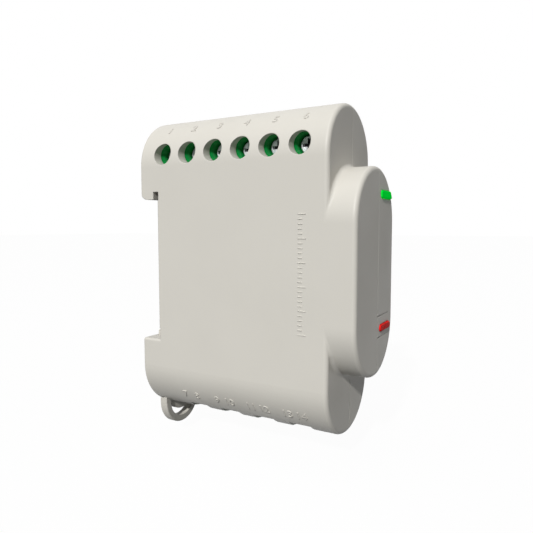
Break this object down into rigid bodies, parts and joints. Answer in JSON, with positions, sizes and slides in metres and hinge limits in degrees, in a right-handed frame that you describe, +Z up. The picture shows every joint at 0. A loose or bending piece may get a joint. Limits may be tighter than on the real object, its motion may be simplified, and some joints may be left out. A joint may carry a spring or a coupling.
{
  "type": "energy meter",
  "caption": "Rail-mounted energy meter: slim round-ended casing with stepped nose, screw terminals, sensor inputs, light bar, reset button and sprung rail clip.",
  "frame": {"origin": "centre of the flat seat that lies on the rail, halfway up the casing", "axes": "+Z up, +Y to the rail, -Y to the front, +X away from the side with the screws"},
  "size_m": [0.0236, 0.056, 0.078],
  "materials": {
    "casing": "fine matt moulding, warm light grey",
    "clip_plastic": "matt moulding, a little darker than the casing",
    "terminal_plastic": "satin green moulding",
    "tinned_copper": "tinned",
    "tinned_sheet": "tinned sheet",
    "circuit_board": "green solder mask",
    "black_plastic": "moulded black",
    "ferrite": "sintered ferrite, dark grey",
    "winding_tape": "yellow tape over the wire",
    "capacitor_sleeve": "shrunk sleeve",
    "varistor_coat": "dipped coat",
    "resistor_coat": "dipped coat",
    "copper_wire": "enamelled copper",
    "lamp_body": "white lamp body",
    "button_red": "satin red",
    "plunger": "moulded",
    "cage_steel": "zinc plated",
    "screw_steel": "zinc plated",
    "spring_steel": "drawn wire",
    "light_bar": "tinted clear moulding, lit from behind"
  },
  "bodies": {
    "casing": {"left_shell": "casing", "right_shell": "casing", "screw_terminal_block": "terminal_plastic", "contact_bars": "tinned_copper", "sensor_contacts": "tinned_copper", "main_board": "circuit_board", "radio_board": "circuit_board", "board_header": "black_plastic", "radio_shield": "tinned_sheet", "processor": "black_plastic", "crystal": "tinned_sheet", "transformer_core": "ferrite", "transformer_bobbin": "black_plastic", "transformer_winding": "winding_tape", "mains_capacitor": "capacitor_sleeve", "output_capacitor": "capacitor_sleeve", "varistors": "varistor_coat", "fusible_resistors": "resistor_coat", "choke_core": "ferrite", "choke_winding": "copper_wire", "bridge_rectifier": "black_plastic", "metering_chip": "black_plastic", "measuring_resistors": "black_plastic", "status_led": "lamp_body", "light_pipe": "light_bar", "button_switch": "black_plastic", "clip_spring": "spring_steel", "sensor_terminal_1": "terminal_plastic", "sensor_terminal_2": "terminal_plastic", "sensor_terminal_3": "terminal_plastic", "sensor_terminal_4": "terminal_plastic"},
    "clip": {"rail_clip": "clip_plastic"},
    "button": {"reset_button": "button_red"},
    "plunger": {"switch_plunger": "plunger"},
    "screw_1": {"terminal_screw_1": "screw_steel"},
    "cage_1": {"clamp_cage_1": "cage_steel"},
    "screw_2": {"terminal_screw_2": "screw_steel"},
    "cage_2": {"clamp_cage_2": "cage_steel"},
    "screw_3": {"terminal_screw_3": "screw_steel"},
    "cage_3": {"clamp_cage_3": "cage_steel"},
    "screw_4": {"terminal_screw_4": "screw_steel"},
    "cage_4": {"clamp_cage_4": "cage_steel"},
    "screw_5": {"terminal_screw_5": "screw_steel"},
    "cage_5": {"clamp_cage_5": "cage_steel"},
    "screw_6": {"terminal_screw_6": "screw_steel"},
    "cage_6": {"clamp_cage_6": "cage_steel"}
  },
  "joints": [
    {"name": "clip_slide", "type": "slide", "parent": "casing", "child": "clip", "axis": [0, 0, -1], "range_m": [0, 0.003], "stiffness_N_per_m": 3200, "springref_m": -0.001, "deforming": ["clip_spring"]},
    {"name": "button_press", "type": "slide", "parent": "casing", "child": "button", "axis": [0, 1, 0], "range_m": [0, 0.0003], "stiffness_N_per_m": 3000, "springref_m": -0.0002},
    {"name": "plunger_press", "type": "slide", "parent": "casing", "child": "plunger", "axis": [0, 1, 0], "range_m": [0, 0.0003]},
    {"name": "screw_turn_1", "type": "hinge", "parent": "casing", "child": "screw_1", "pos_m": [0, -0.0014, 0.0269], "axis": [1, 0, 0], "range_deg": [0, 2001]},
    {"name": "cage_rise_1", "type": "slide", "parent": "casing", "child": "cage_1", "axis": [-1, 0, 0], "range_m": [0, 0.0025]},
    {"name": "screw_turn_2", "type": "hinge", "parent": "casing", "child": "screw_2", "pos_m": [0, -0.00864, 0.0269], "axis": [1, 0, 0], "range_deg": [0, 2001]},
    {"name": "cage_rise_2", "type": "slide", "parent": "casing", "child": "cage_2", "axis": [-1, 0, 0], "range_m": [0, 0.0025]},
    {"name": "screw_turn_3", "type": "hinge", "parent": "casing", "child": "screw_3", "pos_m": [0, -0.01588, 0.0269], "axis": [1, 0, 0], "range_deg": [0, 2001]},
    {"name": "cage_rise_3", "type": "slide", "parent": "casing", "child": "cage_3", "axis": [-1, 0, 0], "range_m": [0, 0.0025]},
    {"name": "screw_turn_4", "type": "hinge", "parent": "casing", "child": "screw_4", "pos_m": [0, -0.02312, 0.0269], "axis": [1, 0, 0], "range_deg": [0, 2001]},
    {"name": "cage_rise_4", "type": "slide", "parent": "casing", "child": "cage_4", "axis": [-1, 0, 0], "range_m": [0, 0.0025]},
    {"name": "screw_turn_5", "type": "hinge", "parent": "casing", "child": "screw_5", "pos_m": [0, -0.03036, 0.0269], "axis": [1, 0, 0], "range_deg": [0, 2001]},
    {"name": "cage_rise_5", "type": "slide", "parent": "casing", "child": "cage_5", "axis": [-1, 0, 0], "range_m": [0, 0.0025]},
    {"name": "screw_turn_6", "type": "hinge", "parent": "casing", "child": "screw_6", "pos_m": [0, -0.0376, 0.0269], "axis": [1, 0, 0], "range_deg": [0, 2001]},
    {"name": "cage_rise_6", "type": "slide", "parent": "casing", "child": "cage_6", "axis": [-1, 0, 0], "range_m": [0, 0.0025]}
  ],
  "couplings": [
    {"joint": "plunger_press", "follows": "button_press", "ratio": 1},
    {"joint": "screw_turn_1", "follows": "cage_rise_1", "rad_per_m": 13963},
    {"joint": "screw_turn_2", "follows": "cage_rise_2", "rad_per_m": 13963},
    {"joint": "screw_turn_3", "follows": "cage_rise_3", "rad_per_m": 13963},
    {"joint": "screw_turn_4", "follows": "cage_rise_4", "rad_per_m": 13963},
    {"joint": "screw_turn_5", "follows": "cage_rise_5", "rad_per_m": 13963},
    {"joint": "screw_turn_6", "follows": "cage_rise_6", "rad_per_m": 13963}
  ]
}
